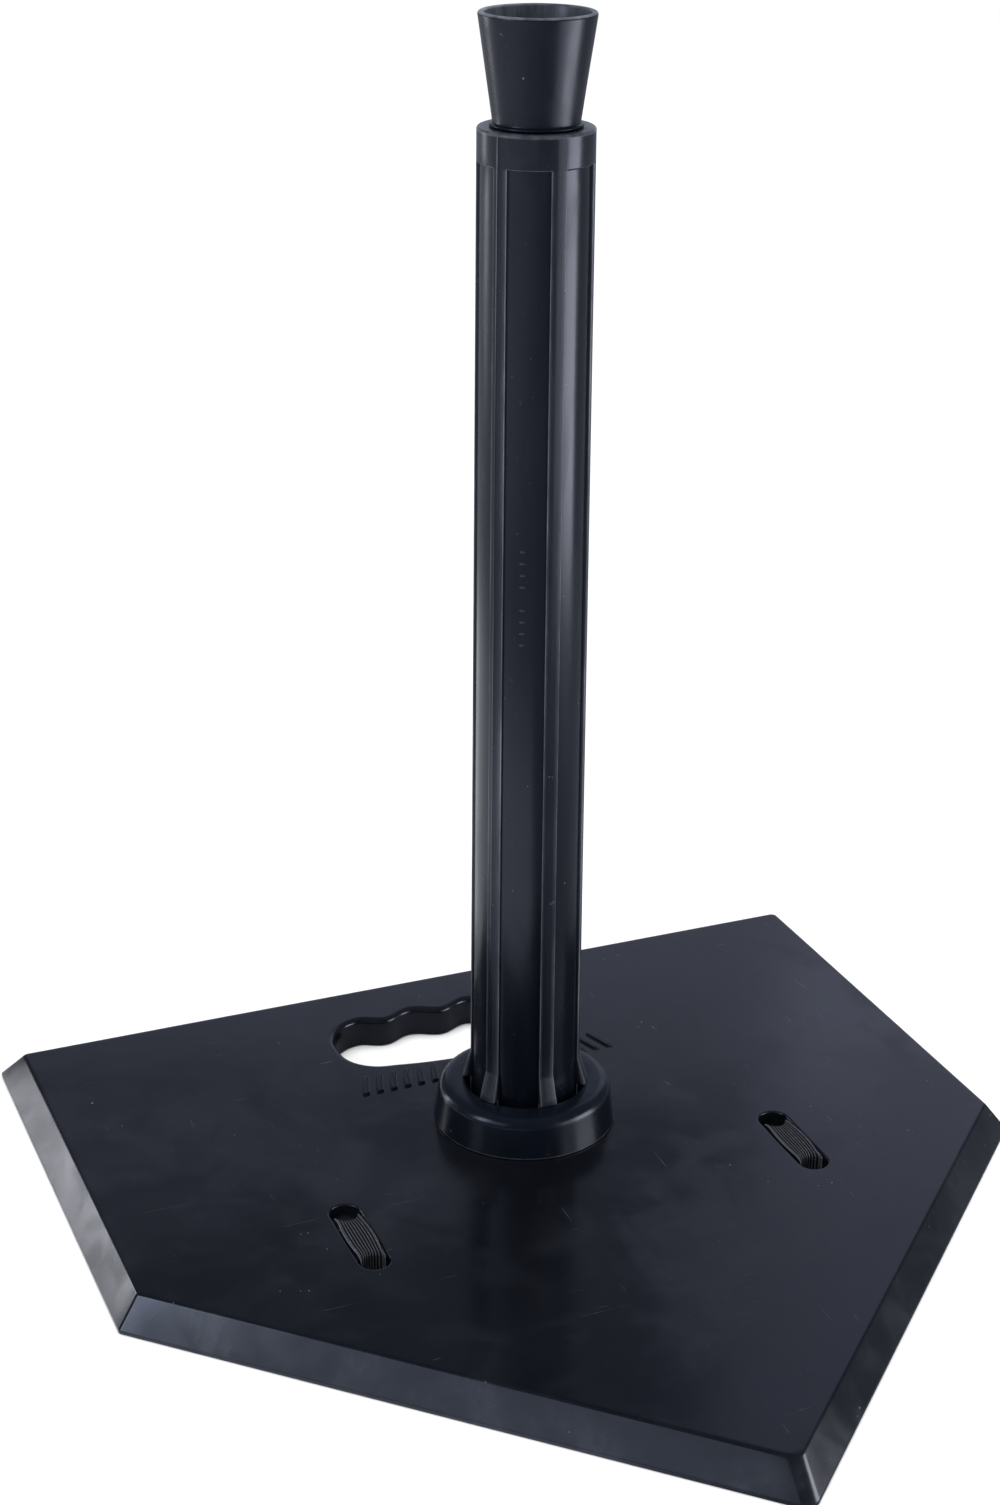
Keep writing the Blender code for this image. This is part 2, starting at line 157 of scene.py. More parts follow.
# Column of pips with a gap in its middle
PIP_SIZE = (1.3 * MM, 0.7 * MM, 0.3 * MM)
PIP_ANGLE = math.radians(-122.0)
PIP_TOP_Z = 300.0 * MM
PIP_PITCH = 5.2 * MM
PIP_PLACES = (0, 1, 2, 3, 5, 6, 7, 8)

TUBE_RADIUS = (TUBE_HIGH.x - TUBE_LOW.x) / 2
TUBE_BORE_RADIUS = 13.9 * MM
CUP_RIM_RADIUS = (CUP_HIGH.x - CUP_LOW.x) / 2
CUP_FLANGE_RADIUS = 19.1 * MM
CUP_FLANGE_BOTTOM = POST_HIGH.z + CONTACT_GAP
CUP_FLANGE_TOP = CUP_FLANGE_BOTTOM + 1.3 * MM
CUP_NECK_RADIUS = 17.8 * MM
CUP_WALL = 2.7 * MM

# Camera: where the view is taken from and which way it looks; the front lights aim at the post
CAMERA_PLACE = Vector((-0.4128, -0.8974, 0.6516))
CAMERA_YAW = math.radians(22.50)
CAMERA_DOWN = math.radians(23.36)
CAMERA_ROLL = math.radians(0.44)
CAMERA_LENS = 61.86
POST_MIDDLE = (0, 0.066, 0.28)

# How pale each place is, from 0 to 1: wear on the rib faces, band, gussets and pips; a pale line round
# the socket's foot; painted highlight on the post's lip, partly wear, and on the cup's rim; painted
# light inside the cup
SOCKET_FOOT_LINE = 0.35
RIB_WEAR = 0.03
BAND_WEAR = 0.02
GUSSET_WEAR = 0.08
POST_LIP_WEAR_AND_HIGHLIGHT = 0.4
PIP_WEAR = 0.12
CUP_RIM_HIGHLIGHT = 0.6
CUP_INSIDE_PAINTED_LIGHT = 0.5

# Colours: pale bloom on worn rubber, pale scuffs that also serve as painted highlights, and the slightly
# blue light of the studio
PALE_BLOOM = (0.155, 0.165, 0.195)
# Scuff colour, also the colour of the painted highlights on the post's rib corners and lip and on the
# cup's rim
PALE_SCUFF_AND_HIGHLIGHT = (0.40, 0.42, 0.48)
WHITE_LIGHT = (1.0, 1.0, 1.0)
COOL_LIGHT = (0.84, 0.93, 1.0)
BLUE_LIGHT = (0.76, 0.81, 1.0)


# Plain geometry helpers -------------------------------------------------------------------------

def arc(centre, radius, start, end, steps):
    points = []
    for i in range(steps + 1):
        angle = start + (end - start) * i / steps
        points.append((centre[0] + radius * math.cos(angle), centre[1] + radius * math.sin(angle)))
    return points


def smoothstep(low, high, value):
    share = min(1.0, max(0.0, (value - low) / (high - low)))
    return share * share * (3 - 2 * share)


def soften(corners, steps=5):
    """Profile from corners (a, b, radius): every corner with a radius becomes an arc."""
    points = []
    last = len(corners) - 1
    for i, (a, b, radius) in enumerate(corners):
        here = Vector((a, b))
        if radius <= 0 or i in (0, last):
            points.append((a, b))
            continue
        before = (Vector(corners[i - 1][:2]) - here).normalized()
        after = (Vector(corners[i + 1][:2]) - here).normalized()
        half_angle = math.acos(max(-1.0, min(1.0, before.dot(after)))) / 2
        centre = here + (before + after).normalized() * radius / math.sin(half_angle)
        reach = radius / math.tan(half_angle)
        first = here + before * reach - centre
        final = here + after * reach - centre
        start = math.atan2(first.y, first.x)
        sweep = math.atan2(final.y, final.x) - start
        sweep = (sweep + math.pi) % math.tau - math.pi
        points += arc(centre, radius, start, start + sweep, steps)
    return points


def corner_middle(last, corner, following):
    """Unit vector from a corner into the outline, and half of the corner's angle."""
    to_last = (last - corner).normalized()
    to_next = (following - corner).normalized()
    return (to_last + to_next).normalized(), math.acos(to_last.dot(to_next)) / 2


def round_corner(last, corner, following, radius, steps):
    """Arc that rounds the corner of an anticlockwise outline."""
    inward, half_angle = corner_middle(last, corner, following)
    centre = corner + inward * radius / math.sin(half_angle)
    sweep = math.pi / 2 - half_angle
    middle = math.atan2(-inward.y, -inward.x)
    return arc(centre, radius, middle - sweep, middle + sweep, steps)


def offset_outline(outline, distance):
    """Move a closed anticlockwise outline outwards by a distance, along its own normals."""
    count = len(outline)
    moved = []
    for i, (x, y) in enumerate(outline):
        before = Vector(outline[i - 1])
        after = Vector(outline[(i + 1) % count])
        along = (after - before).normalized()
        moved.append((x + along.y * distance, y - along.x * distance))
    return moved


def inside(x, y, outline):
    odd = False
    last_x, last_y = outline[-1]
    for this_x, this_y in outline:
        if (this_y > y) != (last_y > y):
            cross = (last_x - this_x) * (y - this_y) / (last_y - this_y) + this_x
            if x < cross:
                odd = not odd
        last_x, last_y = this_x, this_y
    return odd


# Mesh building ----------------------------------------------------------------------------------

def new_mesh():
    bm = bmesh.new()
    # Per-vertex paleness: real wear and bloom, and also painted highlights and painted light
    bm.verts.layers.float.new("wear_and_painted_light")
    return bm


def add_ring(bm, points):
    return [bm.verts.new(point) for point in points]


def bridge(bm, first, second):
    count = len(first)
    for i in range(count):
        j = (i + 1) % count
        bm.faces.new((first[i], first[j], second[j], second[i]))


def add_wall(bm, outline_at, profile):
    """Rings for each (offset, z) of a profile, joined; returns the first and last ring."""
    rings = []
    for distance, z in profile:
        rings.append(add_ring(bm, [(x, y, z) for x, y in outline_at(distance)]))
    for first, second in zip(rings, rings[1:]):
        bridge(bm, first, second)
    return rings[0], rings[-1]


def fill_flat(bm, outer, holes, spacing):
    """Fill a flat region between rings with an even triangle mesh."""
    rings = [outer, *holes]
    outlines = [[(v.co.x, v.co.y) for v in ring] for ring in rings]
    z = outer[0].co.z
    verts = [v for ring in rings for v in ring]
    coords = [Vector((v.co.x, v.co.y)) for v in verts]
    edges = []
    start = 0
    for ring in rings:
        count = len(ring)
        edges += [(start + i, start + (i + 1) % count) for i in range(count)]
        start += count
    xs = [x for x, _ in outlines[0]]
    ys = [y for _, y in outlines[0]]
    margin = spacing * 0.45
    grown = [offset_outline(outline, margin) for outline in outlines[1:]]
    shrunk = offset_outline(outlines[0], -margin)
    row = 0
    y = min(ys)
    while y < max(ys):
        x = min(xs) + (row % 2) * spacing / 2
        while x < max(xs):
            if inside(x, y, shrunk) and not any(inside(x, y, hole) for hole in grown):
                coords.append(Vector((x, y)))
                verts.append(bm.verts.new((x, y, z)))
            x += spacing
        y += spacing * 0.87
        row += 1
    result = delaunay_2d_cdt(coords, edges, [], 0, 1e-7)
    places, _, faces, origins = result[:4]
    for face in faces:
        x = sum(places[i].x for i in face) / 3
        y = sum(places[i].y for i in face) / 3
        if not inside(x, y, outlines[0]) or any(inside(x, y, hole) for hole in outlines[1:]):
            continue
        bm.faces.new([verts[origins[i][0]] for i in face])


def finish_mesh(name, bm, material, sharp_angle=None):
    bmesh.ops.remove_doubles(bm, verts=bm.verts, dist=0.004 * MM)
    bmesh.ops.recalc_face_normals(bm, faces=bm.faces)
    mesh = bpy.data.meshes.new(name)
    bm.to_mesh(mesh)
    bm.free()
    mesh.shade_smooth()
    if sharp_angle is not None:
        mesh.set_sharp_from_angle(angle=math.radians(sharp_angle))
    piece = bpy.data.objects.new(name, mesh)
    bpy.context.scene.collection.objects.link(piece)
    mesh.materials.append(material)
    return piece


def attach(piece, body, slot, *replaced):
    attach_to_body(piece, body)
    if replaced:
        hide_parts(*replaced)


# Materials --------------------------------------------------------------------------------------

class Nodes:
    """Small helper that adds and links shader nodes."""

    def __init__(self, name):
        self.material = bpy.data.materials.new(name)
        self.material.use_nodes = True
        self.tree = self.material.node_tree
        self.shader = self.tree.nodes["Principled BSDF"]
        self.place = self.add("ShaderNodeTexCoord").outputs["Object"]

    def add(self, kind, inputs=None, **settings):
        node = self.tree.nodes.new(kind)
        for key, value in settings.items():
            setattr(node, key, value)
        for key, value in (inputs or {}).items():
            if isinstance(value, bpy.types.NodeSocket):
                self.tree.links.new(value, node.inputs[key])
            else:
                node.inputs[key].default_value = value
        return node

    def stretched(self, scale):
        return self.add("ShaderNodeMapping", {"Vector": self.place, "Scale": scale}).outputs[0]

    def noise(self, scale, detail=3.0, rough=0.5, place=None, distortion=0.0):
        values = {
            "Vector": place or self.place,
            "Scale": scale,
            "Detail": detail,
            "Roughness": rough,
            "Distortion": distortion,
        }
        return self.add("ShaderNodeTexNoise", values).outputs["Fac"]

    def ramp(self, value, low, high, out_low=0.0, out_high=1.0):
        values = {
            "Value": value,
            "From Min": low,
            "From Max": high,
            "To Min": out_low,
            "To Max": out_high,
        }
        node = self.add("ShaderNodeMapRange", values, interpolation_type="SMOOTHSTEP")
        return node.outputs["Result"]

    def math(self, operation, first, second=0.5):
        node = self.add("ShaderNodeMath", {0: first, 1: second}, operation=operation)
        return node.outputs[0]

    def mix(self, factor, first, second):
        node = self.add("ShaderNodeMix", {"Factor": factor}, data_type="RGBA")
        for index, value in ((6, first), (7, second)):
            if isinstance(value, bpy.types.NodeSocket):
                self.tree.links.new(value, node.inputs[index])
            else:
                node.inputs[index].default_value = (*value, 1.0)
        return node.outputs[2]

    def attribute(self, name):
        return self.add("ShaderNodeAttribute", attribute_name=name).outputs["Fac"]

    def to_shader(self, name, value):
        self.tree.links.new(value, self.shader.inputs[name])

    def bump(self, *layers):
        """Chain of (height, distance in metres, strength)."""
        normal = None
        for height, distance, strength in layers:
            values = {"Height": height, "Distance": distance, "Strength": strength}
            if normal is not None:
                values["Normal"] = normal
            normal = self.add("ShaderNodeBump", values).outputs["Normal"]
        self.to_shader("Normal", normal)


def dust_specks(nodes, amount):
    """Scattered specks in two sizes, in patches."""
    cells = nodes.add("ShaderNodeTexVoronoi", {"Vector": nodes.place, "Scale": 85.0})
    chance = nodes.ramp(nodes.noise(23.0, 2.0), 0.55, 0.75, 0.0, 0.045)
    speck = nodes.math("LESS_THAN", cells.outputs["Distance"], chance)
    fine_cells = nodes.add("ShaderNodeTexVoronoi", {"Vector": nodes.place, "Scale": 300.0})
    fine_chance = nodes.ramp(nodes.noise(60.0, 2.0), 0.56, 0.76, 0.0, 0.12)
    fine_speck = nodes.math("LESS_THAN", fine_cells.outputs["Distance"], fine_chance)
    return nodes.math("MULTIPLY", nodes.math("MAXIMUM", speck, fine_speck), amount)


def fine_scratches(nodes, amount):
    """Faint scratches that run in two directions."""
    lines = nodes.noise(30.0, 3.0, 0.6, nodes.stretched((1.0, 34.0, 7.0)), 0.8)
    crossed = nodes.noise(26.0, 3.0, 0.6, nodes.stretched((30.0, 1.3, 9.0)), 0.9)
    along = nodes.ramp(lines, 0.715, 0.76)
    scratch = nodes.math("MAXIMUM", along, nodes.ramp(crossed, 0.72, 0.77))
    return nodes.math("MULTIPLY", scratch, amount)


def patchy_wear_and_light(nodes, streaks, least):
    """The mesh's attribute of wear and painted light, broken up by rubbing and by larger hazy patches.
    """
    rubbed = nodes.noise(210.0, 4.0, 0.7, nodes.stretched((1.0, 1.0, 0.12)))
    patches = nodes.noise(15.0, 5.0, 0.6, nodes.stretched(streaks), 0.9)
    haze = nodes.ramp(patches, 0.47, 0.68, least, 1.1)
    worn_and_lit = nodes.math("MULTIPLY", nodes.attribute("wear_and_painted_light"), nodes.ramp(rubbed, 0.30, 0.68, 0.45, 1.0))
    return nodes.math("MULTIPLY", worn_and_lit, haze)


def rubber_material(
    name,
    dark,
    pale,
    roughness,
    specular,
    tint,
    dust,
    streaks,
    smears=64.0,
    grainy=0.1,
    mark_colour=PALE_SCUFF_AND_HIGHLIGHT,
    least_wear_and_light=0.45,
):
    """Moulded black rubber: cloudy bloom, dust specks, fine scratches, and pale edges that are partly
    scuffs and partly painted highlights.
    """
    nodes = Nodes(name)
    clouds = nodes.noise(9.0, 5.0, 0.55, nodes.stretched(streaks), 0.4)
    mottle = nodes.noise(smears, 3.0, 0.5, nodes.stretched(streaks), 0.8)
    cloud = nodes.ramp(clouds, 0.35, 0.72)
    blotch = nodes.ramp(mottle, 0.42, 0.75)
    bloom = nodes.math("ADD", cloud, nodes.math("MULTIPLY", blotch, 0.5))
    colour = nodes.mix(nodes.math("MULTIPLY", bloom, 0.6), dark, pale)

    marks = nodes.math("MAXIMUM", dust_specks(nodes, dust), fine_scratches(nodes, dust * 0.35))
    # The pale marks: dust, scratches and wear, and also painted highlights and painted light
    marks = nodes.math("MAXIMUM", marks, patchy_wear_and_light(nodes, streaks, least_wear_and_light))
    nodes.to_shader("Base Color", nodes.mix(marks, colour, mark_colour))

    glossiest, dullest = roughness
    uneven = nodes.math("ADD", cloud, nodes.math("MULTIPLY", blotch, 0.8))
    gloss = nodes.ramp(uneven, 0.0, 1.4, glossiest, dullest)
    nodes.to_shader("Roughness", nodes.math("ADD", gloss, nodes.math("MULTIPLY", marks, 0.3)))
    nodes.shader.inputs["Specular IOR Level"].default_value = specular
    nodes.shader.inputs["Specular Tint"].default_value = (*tint, 1.0)
    nodes.bump(
        (nodes.noise(17.0, 2.0), 1.0 * MM, 0.14),
        (mottle, 0.30 * MM, 0.2),
        (nodes.noise(2600.0, 2.0, 0.6), 0.015 * MM, grainy),
    )
    return nodes.material


def plate_rubber():
    """Smooth, smeared and dusty."""
    return rubber_material(
        "plate_rubber",
        dark=(0.0028, 0.0033, 0.0052),
        pale=(0.0085, 0.0092, 0.0120),
        roughness=(0.14, 0.28),
        specular=0.54,
        tint=(0.79, 0.81, 1.0),
        dust=0.9,
        streaks=(1, 1, 1),
        smears=30.0,
        grainy=0.25,
        mark_colour=PALE_BLOOM,
        least_wear_and_light=0.05,
    )


def post_rubber():
    """Post and socket: a little bluer, with streaks that run up the post."""
    return rubber_material(
        "post_rubber",
        dark=(0.0028, 0.0042, 0.0078),
        pale=(0.0060, 0.0078, 0.0120),
        roughness=(0.20, 0.32),
        specular=0.45,
        tint=(0.76, 0.80, 1.0),
        dust=0.4,
        streaks=(1, 1, 0.25),
    )


def cup_rubber():
    """Duller than the post."""
    return rubber_material(
        "cup_rubber",
        dark=(0.0030, 0.0045, 0.0090),
        pale=(0.0075, 0.0090, 0.0140),
        roughness=(0.27, 0.40),
        specular=0.45,
        tint=(0.78, 0.80, 1.0),
        dust=0.3,
        streaks=(1, 1, 0.5),
    )


def tube_rubber():
    """Long fine streaks from sliding in the post."""
    return rubber_material(
        "tube_rubber",
        dark=(0.0035, 0.0045, 0.0075),
        pale=(0.0080, 0.0095, 0.0130),
        roughness=(0.24, 0.36),
        specular=0.3,
        tint=(0.82, 0.86, 1.0),
        dust=0.4,
        streaks=(2, 2, 0.15),
    )


def webbing_material():
    """Woven elastic: black yarn crossed by fine picks, with a painted sheen that makes its rib crests
    and edges a little lighter.
    """
    nodes = Nodes("ribbed_webbing")
    cloth = nodes.add("ShaderNodeUVMap", uv_map="cloth").outputs["UV"]
    picks = nodes.add(
        "ShaderNodeTexWave",
        {"Vector": cloth, "Scale": 210.0, "Distortion": 0.5, "Detail": 1.0},
        bands_direction="Y",
    ).outputs["Fac"]
    fuzz = nodes.noise(1500.0, 3.0, 0.6)
    worn_and_lit = nodes.ramp(nodes.noise(420.0, 2.0, 0.5), 0.50, 0.75)
    # Painted sheen: lighter rib crests and edges, broken up by patches and picks
    crest = nodes.attribute("wear_and_painted_light")
    colour = nodes.mix(picks, (0.0012, 0.0012, 0.0014), (0.004, 0.004, 0.0045))
    shine = nodes.math("ADD", nodes.math("MULTIPLY", worn_and_lit, 0.4), nodes.math("MULTIPLY", picks, 0.12))
    light = nodes.math("MULTIPLY", crest, nodes.math("ADD", shine, 0.5))
    colour = nodes.mix(light, colour, (0.17, 0.18, 0.21))
    nodes.to_shader("Base Color", colour)
    nodes.to_shader("Roughness", nodes.ramp(fuzz, 0.2, 0.8, 0.5, 0.75))
    nodes.shader.inputs["Specular IOR Level"].default_value = 0.1
    nodes.bump((picks, 0.06 * MM, 0.4), (fuzz, 0.03 * MM, 0.3))
    return nodes.material


def thread_material():
    nodes = Nodes("stitch_thread")
    twist = nodes.add("ShaderNodeTexWave", {"Vector": nodes.place, "Scale": 900.0}).outputs["Fac"]
    nodes.to_shader("Base Color", nodes.mix(twist, (0.01, 0.01, 0.012), (0.05, 0.05, 0.055)))
    nodes.shader.inputs["Roughness"].default_value = 0.6
    nodes.bump((twist, 0.1 * MM, 0.5))
    return nodes.material


# Base plate -------------------------------------------------------------------------------------

def plate_corners(inset):
    half = PLATE_WIDTH / 2
    sharp = [
        Vector((-half, BACK_Y)),
        Vector((-half, BACK_Y - PLATE_SIDE)),
        Vector((0.0, BACK_Y - PLATE_DEPTH)),
        Vector((half, BACK_Y - PLATE_SIDE)),
        Vector((half, BACK_Y)),
    ]
    moved = []
    for i, corner in enumerate(sharp):
        inward, half_angle = corner_middle(sharp[i - 1], corner, sharp[(i + 1) % len(sharp)])
        moved.append(corner + inward * inset / math.sin(half_angle))
    return moved


def plate_outline(inset):
    """Anticlockwise outline with round corners and evenly divided edges."""
    corners = plate_corners(inset)
    radii = [CORNER_RADIUS, CORNER_RADIUS, APEX_RADIUS, CORNER_RADIUS, CORNER_RADIUS]
    count = len(corners)
    rounds = []
    for i, (corner, radius) in enumerate(zip(corners, radii)):
        following = corners[(i + 1) % count]
        rounds.append(round_corner(corners[i - 1], corner, following, radius, 10))
    outline = []
    edge_steps = 30
    for i, corner_arc in enumerate(rounds):
        outline += corner_arc
        start = Vector(corner_arc[-1])
        end = Vector(rounds[(i + 1) % count][0])
        for step in range(1, edge_steps):
            outline.append(tuple(start.lerp(end, step / edge_steps)))
    return outline


def handle_outline():
    """Anticlockwise slot outline: scalloped far side, bowed near side and round ends."""
    straight = HANDLE_HALF_LENGTH - HANDLE_CORNER
    steps = 120
    far_side = []
    for i in range(steps + 1):
        x = straight - 2 * straight * i / steps
        far_side.append((x, HANDLE_FAR_Y - FINGER_DEPTH * math.cos(math.tau * x / FINGER_PITCH)))
    bow_radius = (HANDLE_BOW ** 2 + straight ** 2) / (2 * HANDLE_BOW)
    bow_angle = math.asin(straight / bow_radius)
    near_side = arc(
        (0.0, HANDLE_NEAR_Y + bow_radius),
        bow_radius,
        -math.pi / 2 - bow_angle,
        -math.pi / 2 + bow_angle,
        40,
    )
    far_y = far_side[0][1]
    near_y = near_side[0][1]
    left_far = arc((-straight, far_y - HANDLE_CORNER), HANDLE_CORNER, math.pi / 2, math.pi, 20)
    left_near = arc((-straight, near_y + HANDLE_CORNER), HANDLE_CORNER, math.pi, 1.5 * math.pi, 20)
    right_near = [(-x, y) for x, y in reversed(left_near)]
    right_far = [(-x, y) for x, y in reversed(left_far)]
    rough = far_side + left_far[1:] + left_near + near_side[1:] + right_near[1:] + right_far[:-1]
    return smooth_outline(rough, 3)


def smooth_outline(outline, rounds):
    for _ in range(rounds):
        count = len(outline)
        outline = [
            (
                (outline[i - 1][0] + 2 * outline[i][0] + outline[(i + 1) % count][0]) / 4,
                (outline[i - 1][1] + 2 * outline[i][1] + outline[(i + 1) % count][1]) / 4,
            )
            for i in range(count)
        ]
    return outline


def capsule_outline(side):
    radius = SLOT_WIDTH / 2
    reach = SLOT_LENGTH / 2 - radius
    x = side * STRAP_X
    far_end = arc((x, STRAP_Y + reach), radius, 0.0, math.pi, 16)
    near_end = arc((x, STRAP_Y - reach), radius, math.pi, math.tau, 16)
    return far_end + near_end


def bar_outline(side, index):
    """Slanted bar of the generic ornament, with small round corners."""
    x = side * (BAR_FIRST_X + index * BAR_PITCH)
    half_width = BAR_WIDTH / 2
    half_length = BAR_LENGTH_Y / 2
    lean = -side * BAR_SLANT / 2
    corners = [
        Vector((x - half_width - lean, BAR_Y - half_length)),
        Vector((x + half_width - lean, BAR_Y - half_length)),
        Vector((x + half_width + lean, BAR_Y + half_length)),
        Vector((x - half_width + lean, BAR_Y + half_length)),
    ]
    outline = []
    for i, corner in enumerate(corners):
        following = corners[(i + 1) % len(corners)]
        outline += round_corner(corners[i - 1], corner, following, BAR_ROUND, 4)
    return outline


def hole_profile(top_round, low_round):
    """(offset from the hole's outline into the plate, z) from the top face down to the bottom."""
    top = PLATE_TOP
    support = 0.2 * MM
    return soften(
        [
            (top_round + support, top, 0),
            (0.0, top, top_round),
            (0.0, 0.0, low_round),
            (low_round + support, 0.0, 0),
        ],
        6,
    )


def wave_plate(bm):
    """Gentle unevenness of a moulded rubber sheet, nothing at its underside."""
    for vert in bm.verts:
        place = Vector((vert.co.x, vert.co.y, 0.0)) * WAVES_PER_METRE
        share = smoothstep(0.0, PLATE_TOP, vert.co.z)
        vert.co.z += noise.noise(place) * WAVE_HEIGHT * share


def add_plate_edge(bm):
    """Rounded ridge, bevel with its bloom, and lip all round the plate; the bloom is cut back on the
    right-hand side as painted shade.
    """
    edge = soften(
        [
            (-BEVEL_INSET - 2.5 * MM, PLATE_TOP, 0),
            (-BEVEL_INSET - 0.2 * MM, PLATE_TOP, RIDGE_ROUND),
            (-0.1 * MM, LIP_HEIGHT, 0.5 * MM),
            (0.0, LIP_HEIGHT - 0.1 * MM, 0),
            (0.0, 0.0, 0.4 * MM),
            (-1.5 * MM, 0.0, 0),
        ],
        6,
    )
    rings = add_wall(bm, lambda inward: plate_outline(-inward), edge)
    layer = bm.verts.layers.float["wear_and_painted_light"]
    for vert in bm.verts:
        # Painted shade: the bloom drops to a fifth on the right-hand half of the plate
        shaded_right_fade = 1.0 - 0.8 * smoothstep(0.0, 20.0 * MM, vert.co.x)
        on_bevel = smoothstep(PLATE_TOP, PLATE_TOP - 1.5 * MM, vert.co.z)
        vert[layer] = BEVEL_BLOOM * shaded_right_fade * on_bevel
    return rings


def socket_hole_profile():
    """(radius, z) of the hole that the socket's barrel and wider foot sit in."""
    barrel = SOCKET_BARREL_RADIUS + CONTACT_GAP
    foot = SOCKET_FOOT_RADIUS + CONTACT_GAP
    step_z = SOCKET_FOOT_TOP + CONTACT_GAP
    chamfer = 0.4 * MM
    return [
        (barrel + SUPPORT, PLATE_TOP),
        (barrel, PLATE_TOP - 0.3 * MM),
        (barrel, step_z),
        (foot, step_z),
        (foot, chamfer),
        (foot + chamfer, 0.0),
        (foot + chamfer + SUPPORT, 0.0),
    ]


def add_plate_holes(bm):
    """Carrying slot, two strap slots and the socket's hole, as (top ring, low ring) each."""
    handle = handle_outline()
    profile = hole_profile(HANDLE_ROUND, 1.0 * MM)
    holes = [add_wall(bm, lambda distance: offset_outline(handle, distance), profile)]
    profile = hole_profile(0.9 * MM, 0.6 * MM)
    for side in (-1, 1):
        capsule = capsule_outline(side)
        holes.append(add_wall(bm, lambda distance: offset_outline(capsule, distance), profile))
    circle = lambda radius: arc((0.0, POST_Y), radius, 0.0, math.tau, 96)[:-1]
    holes.append(add_wall(bm, circle, socket_hole_profile()))
    return holes


def add_bars(bm):
    """Raised bars on the plate's top; returns the rings of their feet."""
    bar_top = PLATE_TOP + BAR_HEIGHT
    profile = soften(
        [
            (0.45 * MM, PLATE_TOP, 0),
            (0.1 * MM, PLATE_TOP, 0.2 * MM),
            (0.0, bar_top, 0.3 * MM),
            (-0.9 * MM, bar_top, 0),
        ],
        4,
    )
    feet = []
    for side in (-1, 1):
        for index in range(BAR_COUNT):
            outline = bar_outline(side, index)
            foot, crown = add_wall(bm, lambda distance: offset_outline(outline, distance), profile)
            feet.append(foot)
            bm.faces.new(crown)
    return feet


def build_plate(material):
    bm = new_mesh()
    top_outer, low_outer = add_plate_edge(bm)
    holes = add_plate_holes(bm)
    top_holes = [first for first, _ in holes] + add_bars(bm)
    low_holes = [last for _, last in holes]
    fill_flat(bm, top_outer, top_holes, 7.0 * MM)
    fill_flat(bm, low_outer, low_holes, 14.0 * MM)
    wave_plate(bm)
    plate = finish_mesh("plate_skin", bm, material, 50.0)
    attach(plate, "base", "plate_rubber", "base_plate")
    for side, word in ((-1, "left"), (1, "right")):
        build_bridge(side, word, material)


def bridge_half_length(across):
    """Half the length of the web under a strap: its ends are hollowed by the slot's round holes."""
    radius = SLOT_WIDTH / 2
    hole_y = SLOT_LENGTH / 2 - radius
    return hole_y - math.sqrt(max(0.0, radius ** 2 - across ** 2))


def build_bridge(side, word, material):
    """The web of rubber between a slot's two holes, which the strap goes round."""
    half_width = SLOT_WIDTH / 2 + 0.4 * MM
    radius = 1.2 * MM
    slices = 24
    bm = new_mesh()
    rings = []
    for i in range(slices + 1):
        across = -half_width * math.cos(math.pi * i / slices)
        half_length = bridge_half_length(across)
        section = soften(
            [
                (0.0, BRIDGE_LOW, 0),
                (half_length, BRIDGE_LOW, radius),
                (half_length, BRIDGE_TOP, radius),
                (-half_length, BRIDGE_TOP, radius),
                (-half_length, BRIDGE_LOW, radius),
                (0.0, BRIDGE_LOW, 0),
            ],
            5,
        )[:-1]
        x = side * STRAP_X + across
        rings.append(add_ring(bm, [(x, STRAP_Y + y, z) for y, z in section]))
    for first, second in zip(rings, rings[1:]):
        bridge(bm, first, second)
    bm.faces.new(rings[0])
    bm.faces.new(rings[-1])
    piece = finish_mesh("strap_bridge_" + word, bm, material, 40.0)
    attach(piece, "base", "plate_rubber")


# Turned pieces ----------------------------------------------------------------------------------

def turn(name, profile, material, closed, segments=128, paleness_at=None, lumps=0.0):
    """Turn a profile of (radius, z) about the post's axis; open profiles get flat end caps."""
    bm = new_mesh()
    layer = bm.verts.layers.float["wear_and_painted_light"]
    rings = []
    for radius, z in profile:
        points = []
        for i in range(segments):
            angle = math.tau * i / segments
            place = Vector((math.cos(angle), math.sin(angle), z / 0.03))
            uneven = radius + lumps * noise.noise(place * 1.7)
            points.append((uneven * math.cos(angle), POST_Y + uneven * math.sin(angle), z))
        ring = add_ring(bm, points)
        for vert in ring:
            vert[layer] = paleness_at(radius, z) if paleness_at else 0.0
        rings.append(ring)
    for first, second in zip(rings, rings[1:]):
        bridge(bm, first, second)
    if closed:
        bridge(bm, rings[-1], rings[0])
    else:
        bm.faces.new(rings[0])
        bm.faces.new(rings[-1])
    return finish_mesh(name, bm, material, 40.0)


